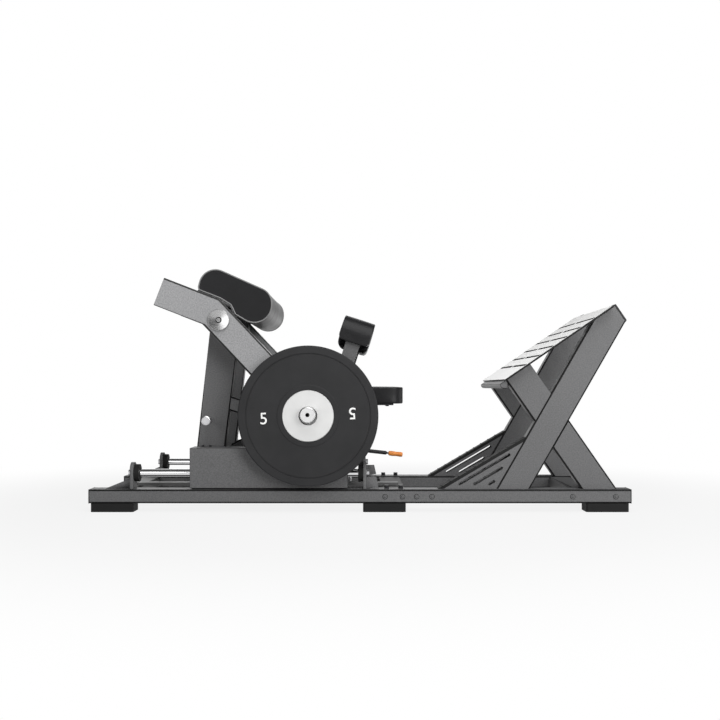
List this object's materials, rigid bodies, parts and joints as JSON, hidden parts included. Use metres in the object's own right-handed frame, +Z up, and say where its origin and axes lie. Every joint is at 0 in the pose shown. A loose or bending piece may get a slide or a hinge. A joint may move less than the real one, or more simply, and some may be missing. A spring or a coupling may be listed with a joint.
{
  "type": "plate-loaded hip thrust machine",
  "caption": "Plate-loaded hip thrust machine: sliding seat carriage with a pivoting press arm, back and hip pads, and a sloping slotted footplate on crossed supports.",
  "frame": {"origin": "on the floor, at the middle of the machine's length and width", "axes": "+X from the back pad towards the footplate, +Y to the user's left, +Z up"},
  "size_m": [1.754, 0.708, 0.7864],
  "materials": {
    "frame_paint": "dark grey fine-textured powder coat",
    "arm_paint": "light grey metallic powder coat",
    "footplate_paint": "very light grey smooth paint",
    "black_plastic": "black moulded plastic",
    "black_rubber": "black moulded rubber",
    "plate_rubber": "dark grey-black rubber, satin",
    "plate_hub": "light satin metal disc",
    "black_steel": "black finished steel",
    "bright_steel": "bright plated steel",
    "chrome_rod": "hard chrome, polished",
    "black_vinyl": "black vinyl cover over foam, sewn",
    "orange_grip": "orange soft grip"
  },
  "bodies": {
    "base": {"right_rail": "frame_paint", "left_rail": "frame_paint", "rail_end_caps": "black_plastic", "rubber_feet": "black_rubber", "rear_cross_member": "frame_paint", "middle_cross_member": "frame_paint", "front_cross_member": "frame_paint", "rail_bolts": "black_steel", "rail_plugs": "frame_paint", "index_bar": "bright_steel", "rear_rod_brackets": "frame_paint", "front_rod_brackets": "frame_paint", "guide_rods": "chrome_rod", "rod_buffers": "black_rubber", "rod_end_bolts": "bright_steel", "right_foot_upright": "frame_paint", "left_foot_upright": "frame_paint", "right_foot_braces": "frame_paint", "left_foot_braces": "frame_paint", "foot_upright_caps": "black_plastic", "footplate": "footplate_paint", "footplate_toe_bar": "frame_paint", "step_brackets": "frame_paint", "step_treads": "black_rubber"},
    "carriage": {"right_carriage_box": "frame_paint", "left_carriage_box": "frame_paint", "linear_bearings": "bright_steel", "carriage_bolts": "black_steel", "carriage_cross_tubes": "frame_paint", "right_post": "frame_paint", "left_post": "frame_paint", "pivot_bearings": "bright_steel", "seat_frame": "frame_paint", "seat_strut": "frame_paint", "seat_plate": "black_steel", "seat_bolts": "black_steel", "seat_pad": "black_vinyl", "band_pegs": "bright_steel", "arm_stops": "black_rubber", "lock_pin_housing": "frame_paint", "lever_ears": "frame_paint"},
    "press_arm": {"right_arm": "arm_paint", "left_arm": "arm_paint", "arm_end_caps": "black_plastic", "arm_tie": "arm_paint", "pivot_axle": "bright_steel", "pivot_caps": "bright_steel", "plate_sleeves": "chrome_rod", "hip_frame": "frame_paint", "hip_pad": "black_vinyl", "back_pad_bracket": "frame_paint", "back_pad": "black_vinyl"},
    "right_weight_plate": {"right_plate_rubber": "plate_rubber", "right_plate_hub": "plate_hub"},
    "left_weight_plate": {"left_plate_rubber": "plate_rubber", "left_plate_hub": "plate_hub"},
    "release_lever": {"release_lever": "black_steel", "lever_grip": "orange_grip"},
    "lock_pin": {"lock_pin": "bright_steel"}
  },
  "joints": [
    {"name": "carriage_slide", "type": "slide", "parent": "base", "child": "carriage", "axis": [1, 0, 0], "range_m": [-0.165, 0.033]},
    {"name": "press_arm_pivot", "type": "hinge", "parent": "carriage", "child": "press_arm", "pos_m": [-0.4576, 0, 0.6207], "axis": [0, -1, 0], "range_deg": [0, 40]},
    {"name": "right_plate_slide", "type": "slide", "parent": "press_arm", "child": "right_weight_plate", "axis": [0, -1, 0], "range_m": [0, 0.09]},
    {"name": "left_plate_slide", "type": "slide", "parent": "press_arm", "child": "left_weight_plate", "axis": [0, 1, 0], "range_m": [0, 0.09]},
    {"name": "lever_hinge", "type": "hinge", "parent": "carriage", "child": "release_lever", "pos_m": [-0.084, -0.095, 0.1985], "axis": [0, -1, 0], "range_deg": [-14, 0]},
    {"name": "lock_pin_slide", "type": "slide", "parent": "carriage", "child": "lock_pin", "axis": [0, 0, 1], "range_m": [-0.0105, 0]}
  ],
  "couplings": [
    {"joint": "lock_pin_slide", "follows": "lever_hinge", "m_per_rad": 0.0415}
  ]
}
